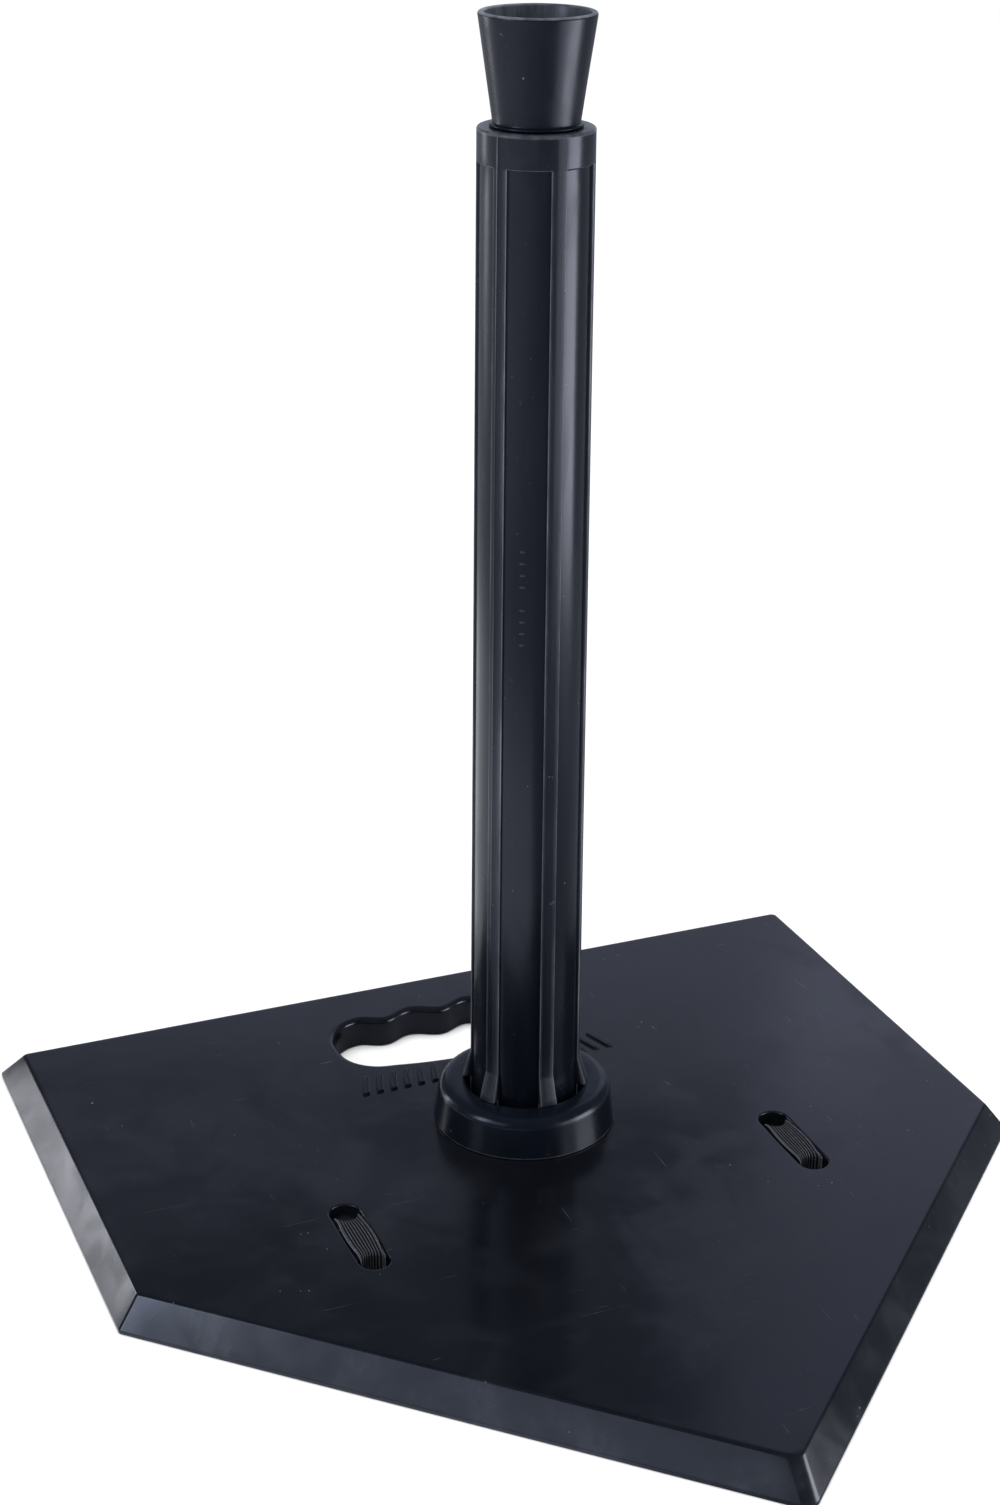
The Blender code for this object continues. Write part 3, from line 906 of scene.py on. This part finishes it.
def build_socket(material):
    collar_bottom = PLATE_TOP + CONTACT_GAP
    corners = [
        (SOCKET_FLOOR_RADIUS - 1.5 * MM, SOCKET_FLOOR_TOP, 0),
        (SOCKET_FLOOR_RADIUS, SOCKET_FLOOR_TOP, 1.0 * MM),
        (SOCKET_MOUTH_RADIUS, SOCKET_TOP - 0.1 * MM, 0.9 * MM),
        (SOCKET_MOUTH_RADIUS + 3.5 * MM, SOCKET_TOP, 0),
        (SOCKET_SHOULDER_RADIUS, SOCKET_TOP, SOCKET_ROUND),
        (SOCKET_BASE_RADIUS - 0.1 * MM, collar_bottom + 0.9 * MM, 0),
        (SOCKET_BASE_RADIUS, collar_bottom + 0.5 * MM, 0.2 * MM),
        (SOCKET_BASE_RADIUS - 0.2 * MM, collar_bottom, 0),
        (SOCKET_BARREL_RADIUS, collar_bottom, 0),
        (SOCKET_BARREL_RADIUS, SOCKET_FOOT_TOP, 0),
        (SOCKET_FOOT_RADIUS, SOCKET_FOOT_TOP, 0.4 * MM),
        (SOCKET_FOOT_RADIUS, SOCKET_LOW.z, 0.5 * MM),
        (SOCKET_FOOT_RADIUS - 2.0 * MM, SOCKET_LOW.z, 0),
    ]

    def paleness_at(radius, z):
        # A pale line round the foot's edge
        is_foot_edge = radius > SOCKET_BASE_RADIUS - 0.3 * MM and z < collar_bottom + 0.8 * MM
        return SOCKET_FOOT_LINE if is_foot_edge else 0.0

    socket = turn("socket_skin", soften(corners, 8), material, False, 144, paleness_at, 0.05 * MM)
    attach(socket, "base", "post_rubber", "post_socket")


def build_tube(material):
    inner = TUBE_BORE_RADIUS
    middle = (TUBE_RADIUS + inner) / 2
    corners = [
        (middle, TUBE_HIGH.z, 0),
        (TUBE_RADIUS, TUBE_HIGH.z, 0.4 * MM),
        (TUBE_RADIUS, TUBE_LOW.z, 1.0 * MM),
        (inner, TUBE_LOW.z, 0.5 * MM),
        (inner, TUBE_HIGH.z, 0.3 * MM),
        (middle, TUBE_HIGH.z, 0),
    ]
    tube = turn("sliding_tube", soften(corners, 5)[:-1], material, True, 96)
    attach(tube, "tube", "tube_rubber", "inner_tube")


def build_cup(material):
    slope = (CUP_RIM_RADIUS - CUP_NECK_RADIUS) / (CUP_HIGH.z - CUP_FLANGE_TOP)
    floor_z = CUP_FLANGE_TOP + 5.0 * MM
    floor_radius = CUP_NECK_RADIUS + slope * 5.0 * MM - CUP_WALL
    plug = TUBE_BORE_RADIUS - CONTACT_GAP
    plug_bore = 10.5 * MM
    rim_round = CUP_WALL / 2 - 0.05 * MM
    corners = [
        (CUP_RIM_RADIUS - CUP_WALL / 2, CUP_HIGH.z, 0),
        (CUP_RIM_RADIUS + 0.02 * MM, CUP_HIGH.z, rim_round * 0.85),
        (CUP_NECK_RADIUS, CUP_FLANGE_TOP, 0.8 * MM),
        (CUP_FLANGE_RADIUS, CUP_FLANGE_TOP - 0.3 * MM, 0.4 * MM),
        (CUP_FLANGE_RADIUS, CUP_FLANGE_BOTTOM, 0.4 * MM),
        (plug, CUP_FLANGE_BOTTOM, 0),
        (plug, CUP_LOW.z, 0.8 * MM),
        (plug_bore, CUP_LOW.z, 0.4 * MM),
        (plug_bore, floor_z - 1.0 * MM, 0.8 * MM),
        (floor_radius, floor_z, 1.5 * MM),
        (CUP_RIM_RADIUS - CUP_WALL, CUP_HIGH.z, rim_round * 0.85),
        (CUP_RIM_RADIUS - CUP_WALL / 2, CUP_HIGH.z, 0),
    ]
    profile = add_steps(soften(corners, 8)[:-1], 4.0 * MM)
    inner_edge = CUP_RIM_RADIUS - CUP_WALL * 0.9

    def paleness_at(radius, z):
        # Rim: a painted highlight line. Inside: painted light, paler towards the rim and darker deeper
        # in as painted shade.
        if z > CUP_HIGH.z - 0.6 * MM:
            return CUP_RIM_HIGHLIGHT
        is_inner = radius < inner_edge - slope * (CUP_HIGH.z - z)
        return CUP_INSIDE_PAINTED_LIGHT * smoothstep(floor_z, CUP_HIGH.z, z) if is_inner else 0.0

    cup = turn("flared_cup", profile, material, True, 144, paleness_at, 0.08 * MM)
    attach(cup, "tube", "cup_rubber", "ball_cup")


def add_steps(profile, longest):
    """Divide long straight stretches of a closed profile, so that the unevenness shows there."""
    points = []
    for i, point in enumerate(profile):
        following = profile[(i + 1) % len(profile)]
        gap = math.dist(point, following)
        steps = max(1, math.ceil(gap / longest))
        for step in range(steps):
            share = step / steps
            a = point[0] + (following[0] - point[0]) * share
            b = point[1] + (following[1] - point[1]) * share
            points.append((a, b))
    return points


# Outer post -------------------------------------------------------------------------------------

def rib_offsets():
    """Angles in degrees from a rib's middle, close together where the surface turns."""
    half = RIB_HALF_ANGLE
    seam = [SEAM_OFFSET + SEAM_HALF_WIDTH * k for k in (-1.0, -0.5, 0.0, 0.5, 1.0)]
    corner = [half - 0.9, half - 0.45, half - 0.2, half, half + 0.2, half + 0.45, half + 0.8]
    panel = [half + 1.3, half + 3.0, 15.0, 19.0, 23.0, 27.0]
    right_side = [3.0] + corner + panel
    left_side = [-5.0] + [-value for value in corner + panel]
    return sorted(set(left_side + seam + right_side + [30.0]))


def rib_angle(rib):
    """Degrees; the first rib faces the plate's apex."""
    return -90.0 + 60.0 * rib


def rib_share(offset):
    """1 on a rib, 0 on a panel."""
    half = RIB_HALF_ANGLE
    return 1.0 - smoothstep(half - 0.5, half + 0.5, abs(offset))


def post_radius(z):
    share = (z - POST_LOW.z) / (POST_HIGH.z - POST_LOW.z)
    return POST_FOOT_RADIUS + (POST_TOP_RADIUS - POST_FOOT_RADIUS) * share


def gusset_reach(z):
    """How far a gusset stands out of its rib at a height."""
    share = (z - GUSSET_FOOT) / GUSSET_HEIGHT
    if share < 0.0 or share > 1.0:
        return 0.0
    full = GUSSET_RADIUS - post_radius(GUSSET_FOOT)
    return full * min(1.0, (1.0 - share) * GUSSET_FILL)


def post_wear_and_highlights(offset, reach, shrink, panel_depth):
    """Pale lines on the rib corners, the top lip and the ledge between the panels and the band, partly
    scuffs and partly painted highlight; rubbed gussets.
    """
    share = rib_share(offset)
    # Top lip: a pale line, partly wear and partly painted highlight
    if panel_depth == 0.0 and shrink > 0.0:
        return POST_LIP_WEAR_AND_HIGHLIGHT
    if panel_depth >= 0.6:
        # Rib corners: a pale line, partly scuffs and partly painted highlight
        at_corner = 1.0 - min(1.0, abs(abs(offset) - RIB_HALF_ANGLE + 0.5) / 0.5)
        wear_and_painted_light = at_corner + share * RIB_WEAR
    else:
        # Ledge under the band: a pale line, partly wear and partly painted highlight; the band itself:
        # slight wear
        wear_and_painted_light = 1.0 - share if panel_depth > 0.1 else BAND_WEAR
    return max(wear_and_painted_light, share * GUSSET_WEAR) if reach > 0.0 else wear_and_painted_light


def post_outer_ring(bm, z, with_gusset=True, shrink=0.0, panel_depth=1.0):
    """Ring round the post; panel_depth is 1 for full recesses and 0 for the plain band."""
    layer = bm.verts.layers.float["wear_and_painted_light"]
    radius = post_radius(z)
    ring = []
    for rib in range(RIB_COUNT):
        middle = rib_angle(rib)
        for offset in rib_offsets():
            share = rib_share(offset)
            reach = gusset_reach(z) if with_gusset else 0.0
            r = radius - shrink - RIB_HEIGHT * (1.0 - share) * panel_depth + reach * share
            if rib in SEAM_RIBS and abs(offset - SEAM_OFFSET) < SEAM_HALF_WIDTH and shrink == 0.0:
                r += SEAM_HEIGHT * (1 - abs(offset - SEAM_OFFSET) / SEAM_HALF_WIDTH)
            angle = math.radians(middle + offset)
            vert = bm.verts.new((r * math.cos(angle), POST_Y + r * math.sin(angle), z))
            vert[layer] = post_wear_and_highlights(offset, reach, shrink, panel_depth)
            ring.append(vert)
    return ring


def post_inner_ring(bm, z, radius):
    points = []
    for rib in range(RIB_COUNT):
        for offset in rib_offsets():
            angle = math.radians(rib_angle(rib) + offset)
            points.append((radius * math.cos(angle), POST_Y + radius * math.sin(angle), z))
    return add_ring(bm, points)


def post_shaft_rings(bm):
    """Foot, gussets and tapered shaft, up to the ledge under the band."""
    rings = [post_outer_ring(bm, POST_LOW.z, False, 0.5 * MM)]
    rings.append(post_outer_ring(bm, POST_LOW.z + 0.5 * MM, False))
    rings.append(post_outer_ring(bm, GUSSET_FOOT - 0.02 * MM, False))
    gusset_steps = 10
    for i in range(gusset_steps + 1):
        rings.append(post_outer_ring(bm, GUSSET_FOOT + GUSSET_HEIGHT * i / gusset_steps))
    gusset_top = GUSSET_FOOT + GUSSET_HEIGHT
    shaft_steps = 36
    for i in range(1, shaft_steps + 1):
        z = gusset_top + (BAND_BOTTOM - 0.5 * MM - gusset_top) * i / shaft_steps
        rings.append(post_outer_ring(bm, z))
    return rings


def post_band_rings(bm):
    """Ledge where the panels end, plain band and its rounded top edge."""
    rings = []
    for rise, depth in ((-0.3, 0.97), (-0.1, 0.8), (0.0, 0.5), (0.1, 0.2), (0.3, 0.03), (0.5, 0.0)):
        rings.append(post_outer_ring(bm, BAND_BOTTOM + rise * MM, True, 0.0, depth))
    for z in ((BAND_BOTTOM + POST_HIGH.z) / 2, POST_HIGH.z - BAND_ROUND * 1.5):
        rings.append(post_outer_ring(bm, z, True, 0.0, 0.0))
    for i in range(7):
        angle = math.pi / 2 * i / 6
        z = POST_HIGH.z - BAND_ROUND * (1 - math.sin(angle))
        rings.append(post_outer_ring(bm, z, True, BAND_ROUND * (1 - math.cos(angle)) + 1e-7, 0.0))
    return rings


def post_bore_rings(bm):
    """Rounded mouth and straight bore, from the top down."""
    rings = []
    for widen, drop in ((1.3, 0.0), (0.7, 0.0), (0.3, 0.12), (0.08, 0.4), (0.0, 0.9)):
        rings.append(post_inner_ring(bm, POST_HIGH.z - drop * MM, POST_BORE_RADIUS + widen * MM))
    rings.append(post_inner_ring(bm, POST_LOW.z + 0.5 * MM, POST_BORE_RADIUS))
    rings.append(post_inner_ring(bm, POST_LOW.z, POST_BORE_RADIUS + 0.5 * MM))
    return rings


def build_post(material):
    bm = new_mesh()
    rings = post_shaft_rings(bm) + post_band_rings(bm) + post_bore_rings(bm)
    for first, second in zip(rings, rings[1:]):
        bridge(bm, first, second)
    bridge(bm, rings[-1], rings[0])
    post = finish_mesh("post_skin", bm, material, 60.0)
    attach(post, "post", "post_rubber", "outer_post")


def build_mould_marks(material):
    """A short column of small raised pips on one panel, in place of moulded lettering."""
    bm = new_mesh()
    layer = bm.verts.layers.float["wear_and_painted_light"]
    flat = Matrix.Diagonal((*PIP_SIZE, 1.0))
    out = Vector((math.cos(PIP_ANGLE), math.sin(PIP_ANGLE), 0.0))
    for i in PIP_PLACES:
        z = PIP_TOP_Z - PIP_PITCH * i
        radius = post_radius(z) - RIB_HEIGHT
        place = out * radius + Vector((0.0, POST_Y, z))
        facing = Matrix((out.cross(Vector((0, 0, -1))), Vector((0, 0, 1)), out)).transposed().to_4x4()
        pip = bmesh.ops.create_icosphere(bm, subdivisions=2, radius=1.0)["verts"]
        bmesh.ops.transform(bm, verts=pip, matrix=Matrix.Translation(place) @ facing @ flat)
        for vert in pip:
            vert[layer] = PIP_WEAR
    marks = finish_mesh("mould_pips", bm, material)
    attach(marks, "post", "post_rubber")


# Elastic straps ---------------------------------------------------------------------------------

def line(start, end, steps):
    """Even points from start towards end, without the end."""
    return [tuple(Vector(start).lerp(Vector(end), i / steps)) for i in range(steps)]


def strap_path(across):
    """Closed centre line of the loop in (y, z) about the slot's middle, at a distance across."""
    bend = 1.7 * MM
    reach = bridge_half_length(across) + CONTACT_GAP + STRAP_THICKNESS / 2 - bend
    low = BRIDGE_LOW - CONTACT_GAP - STRAP_THICKNESS / 2
    top = BRIDGE_TOP + CONTACT_GAP + STRAP_THICKNESS / 2
    path = line((-reach, low), (reach, low), 40)
    path += arc((reach, low + bend), bend, -math.pi / 2, 0.0, 6)
    path += line((reach + bend, low + bend), (reach + bend, top - bend), 10)[1:]
    path += arc((reach, top - bend), bend, 0.0, math.pi / 2, 8)
    for y, z in line((reach, top), (-reach, top), 40)[1:]:
        path.append((y, z + STRAP_CROWN * (1 - (y / reach) ** 2)))
    path += arc((-reach, top - bend), bend, math.pi / 2, math.pi, 8)
    path += line((-reach - bend, top - bend), (-reach - bend, low + bend), 10)[1:]
    path += arc((-reach, low + bend), bend, math.pi, 1.5 * math.pi, 6)[:-1]
    return path


def strap_pull(y):
    """The webbing is drawn in a little where it bends down into the slot's holes."""
    return 1.0 - STRAP_PULL * min(1.0, (y / bridge_half_length(0.0)) ** 2)


def strap_section():
    """Cross-section as (across, out of the loop, wear and painted light): ribbed faces with a painted
    sheen on the rib crests, and thick edges with a painted highlight that is stronger on their upper
    half; the underside gets less.
    """
    half_width = STRAP_WIDTH / 2
    half_thick = STRAP_THICKNESS / 2
    steps = STRAP_RIBS * 8
    faces = []
    for i in range(steps + 1):
        share = 1.92 * i / steps - 0.96
        ridge = 0.5 - 0.5 * math.cos(math.tau * STRAP_RIBS * i / steps)
        edge = smoothstep(0.91, 0.95, abs(share))
        height = half_thick - STRAP_RIB_DEPTH * (1.0 - ridge) * (1.0 - edge)
        faces.append((share * half_width, height, max(ridge ** 4 * 0.7 * (1 - edge), 0.8 * edge)))
    right_edge = [(half_width, 0.3 * half_thick, 0.9), (half_width, -0.3 * half_thick, 0.3)]
    left_edge = [(-half_width, -0.3 * half_thick, 0.3), (-half_width, 0.3 * half_thick, 0.9)]
    under = [(-across, -height, wear_and_painted_light * 0.4) for across, height, wear_and_painted_light in faces]
    return faces + right_edge + under + left_edge


def build_strap(side, word, material, thread):
    section = strap_section()
    bm = new_mesh()
    layer = bm.verts.layers.float["wear_and_painted_light"]
    cloth = bm.loops.layers.uv.new("cloth")
    columns = []
    for across, height, wear_and_painted_light in section:
        path = strap_path(across)
        column = []
        for i, point in enumerate(path):
            along = (Vector(path[(i + 1) % len(path)]) - Vector(path[i - 1])).normalized()
            y, z = Vector(point) + Vector((along.y, -along.x)) * height
            x = side * STRAP_X + across * strap_pull(y)
            vert = bm.verts.new((x, STRAP_Y + y, z))
            vert[layer] = wear_and_painted_light
            column.append(vert)
        columns.append(column)
    middle = strap_path(0.0)
    steps = [math.dist(point, middle[(i + 1) % len(middle)]) for i, point in enumerate(middle)]
    for j, first in enumerate(columns):
        k = (j + 1) % len(columns)
        second = columns[k]
        length = 0.0
        for i, step in enumerate(steps):
            n = (i + 1) % len(steps)
            face = bm.faces.new((first[i], first[n], second[n], second[i]))
            corners = ((j, 0.0), (j, step), (k, step), (k, 0.0))
            for loop, (column, extra) in zip(face.loops, corners):
                loop[cloth].uv = (section[column][0], length + extra)
            length += step
    strap = finish_mesh("webbing_" + word, bm, material)
    attach(strap, "base", "webbing", "strap_" + word)
    build_stitches(side, word, thread)


def build_stitches(side, word, material):
    """Zigzag of short stitches on the under run, where the loop's ends are sewn together."""
    low = BRIDGE_LOW - CONTACT_GAP - STRAP_THICKNESS
    curve = bpy.data.curves.new("stitches_" + word, "CURVE")
    curve.dimensions = "3D"
    curve.bevel_depth = STITCH_RADIUS
    curve.bevel_resolution = 2
    curve.use_fill_caps = True
    for row in (-1, 1):
        points = []
        for i in range(STITCH_COUNT * 2 + 1):
            x = side * STRAP_X + STRAP_WIDTH * 0.42 * (i / STITCH_COUNT - 1)
            y = STRAP_Y + row * 3.0 * MM + (1.4 * MM if i % 2 else -1.4 * MM)
            points.append((x, y, low - 0.05 * MM))
        spline = curve.splines.new("POLY")
        spline.points.add(len(points) - 1)
        for target, point in zip(spline.points, points):
            target.co = (*point, 1.0)
    curve.materials.append(material)
    piece = bpy.data.objects.new("stitches_" + word, curve)
    bpy.context.scene.collection.objects.link(piece)
    attach(piece, "base", "webbing")


# Studio -----------------------------------------------------------------------------------------

def build_camera():
    camera = bpy.data.objects.new("camera", bpy.data.cameras.new("camera"))
    bpy.context.scene.collection.objects.link(camera)
    camera.location = CAMERA_PLACE
    forward = Vector(
        (
            math.sin(CAMERA_YAW) * math.cos(CAMERA_DOWN),
            math.cos(CAMERA_YAW) * math.cos(CAMERA_DOWN),
            -math.sin(CAMERA_DOWN),
        )
    )
    aim = forward.to_track_quat("-Z", "Y")
    roll = Matrix.Rotation(-CAMERA_ROLL, 4, forward)
    camera.rotation_euler = (roll @ aim.to_matrix().to_4x4()).to_euler()
    camera.data.sensor_width = 36.0
    camera.data.lens = CAMERA_LENS
    camera.data.clip_start = 0.05
    camera.data.clip_end = 60.0
    bpy.context.scene.camera = camera


def add_light(kind, name, place, target, strength):
    data = bpy.data.lights.new(name, kind)
    data.energy = strength
    light = bpy.data.objects.new(name, data)
    light.location = place
    aim = Vector(target) - Vector(place)
    light.rotation_euler = aim.to_track_quat("-Z", "Y").to_euler()
    bpy.context.scene.collection.objects.link(light)
    return light


def add_softbox(name, place, target, size, power, colour):
    light = add_light("AREA", name, place, target, power)
    light.data.shape = "RECTANGLE"
    light.data.size, light.data.size_y = size
    light.data.color = colour


def build_world():
    world = bpy.data.worlds.new("studio")
    bpy.context.scene.world = world
    world.use_nodes = True
    background = world.node_tree.nodes["Background"]
    background.inputs["Color"].default_value = (0.70, 0.82, 1.0, 1.0)
    background.inputs["Strength"].default_value = 0.145


def build_floor():
    """White floor for the picture."""
    floor = floor_sheet("floor", -0.1 * MM)
    nodes = Nodes("pale_floor")
    nodes.shader.inputs["Base Color"].default_value = (0.92, 0.91, 0.90, 1.0)
    nodes.shader.inputs["Roughness"].default_value = 0.7
    nodes.shader.inputs["Specular IOR Level"].default_value = 0.2
    floor.data.materials.append(nodes.material)


def build_sheen_floor():
    """Greyer floor just above the white one, that only the sheen on the rubber sees.

    It is pale to the left of the post but not close beside it, and again far to the left.
    """
    floor = floor_sheet("floor_in_sheen", -0.05 * MM)
    for kind in ("camera", "diffuse", "transmission", "volume_scatter", "shadow"):
        setattr(floor, "visible_" + kind, False)
    nodes = Nodes("floor_in_sheen")
    place = nodes.add("ShaderNodeSeparateXYZ", {"Vector": nodes.place}).outputs
    near = nodes.ramp(distance_from(nodes, -0.05, 0.20), 0.48, 0.78, 1.0, 0.1)
    clear = nodes.ramp(distance_from(nodes, 0.0, 0.15), 0.12, 0.20)
    across = nodes.math("SUBTRACT", place[0], nodes.math("MULTIPLY", place[1], 0.35))
    left = nodes.ramp(across, -0.03, 0.08, 1.0, 0.0)
    share = nodes.math("MULTIPLY", nodes.math("MULTIPLY", near, clear), left)
    far_left = nodes.ramp(place[0], -1.05, -0.70, 0.45, 0.0)
    share = nodes.math("MAXIMUM", share, far_left)
    nodes.to_shader("Base Color", nodes.mix(share, (0.20, 0.21, 0.23), (0.86, 0.87, 0.88)))
    nodes.shader.inputs["Roughness"].default_value = 0.7
    nodes.shader.inputs["Specular IOR Level"].default_value = 0.0
    floor.data.materials.append(nodes.material)


def distance_from(nodes, x, y):
    inputs = {0: nodes.place, 1: (x, y, 0.0)}
    return nodes.add("ShaderNodeVectorMath", inputs, operation="DISTANCE").outputs["Value"]


def floor_sheet(name, z):
    bm = bmesh.new()
    bmesh.ops.create_grid(bm, x_segments=1, y_segments=1, size=8.0)
    mesh = bpy.data.meshes.new(name)
    bm.to_mesh(mesh)
    bm.free()
    sheet = bpy.data.objects.new(name, mesh)
    sheet.location.z = z
    bpy.context.scene.collection.objects.link(sheet)
    sheet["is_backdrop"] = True
    return sheet


def build_lights():
    """Even light from above for the floor, and soft boxes for the sheen on the rubber."""
    above = add_light("SUN", "ceiling", (0, 0, 3), (0, 0, 0), 3.3)
    above.data.angle = math.radians(60)
    above.visible_glossy = False
    for name, place, target, size, power, colour in (
        ("left", (-1.98, -0.23, 1.1), (-0.2, -0.1, 0.0), (0.55, 1.0), 9.9, COOL_LIGHT),
        ("front_left", (-1.78, -0.99, 1.1), (-0.1, -0.15, 0.0), (0.9, 0.9), 2.4, COOL_LIGHT),
        ("back_left", (-1.11, 1.38, 0.30), (-0.2, 0.1, 0.05), (0.26, 0.75), 2.8, WHITE_LIGHT),
        ("front_right", (0.755, -0.435, 0.21), POST_MIDDLE, (0.44, 0.42), 3.6, WHITE_LIGHT),
        ("front_fill", (0.50, -0.70, 0.21), POST_MIDDLE, (0.34, 0.42), 0.8, WHITE_LIGHT),
        ("backdrop", (1.35, 2.65, 0.97), (0, 0, 0.1), (3.1, 1.35), 5.3, BLUE_LIGHT),
        ("back_right", (1.75, 1.90, 1.75), (0.1, 0, 0.1), (1.1, 1.0), 1.4, BLUE_LIGHT),
    ):
        add_softbox(name, place, target, size, power, colour)


def main():
    bpy.context.scene.view_settings.view_transform = "Standard"
    build_camera()
    build_world()
    build_floor()
    build_sheen_floor()
    build_lights()
    plate = plate_rubber()
    post = post_rubber()
    cup = cup_rubber()
    tube = tube_rubber()
    build_plate(plate)
    build_socket(post)
    build_post(post)
    build_mould_marks(post)
    build_tube(tube)
    build_cup(cup)
    webbing = webbing_material()
    thread = thread_material()
    for side, word in ((-1, "left"), (1, "right")):
        build_strap(side, word, webbing, thread)


def write_sizes():
    boxes = {"cad": CAD_BOX, "visual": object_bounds()}
    plain = {name: [list(low), list(high)] for name, (low, high) in boxes.items()}


main()
write_sizes()
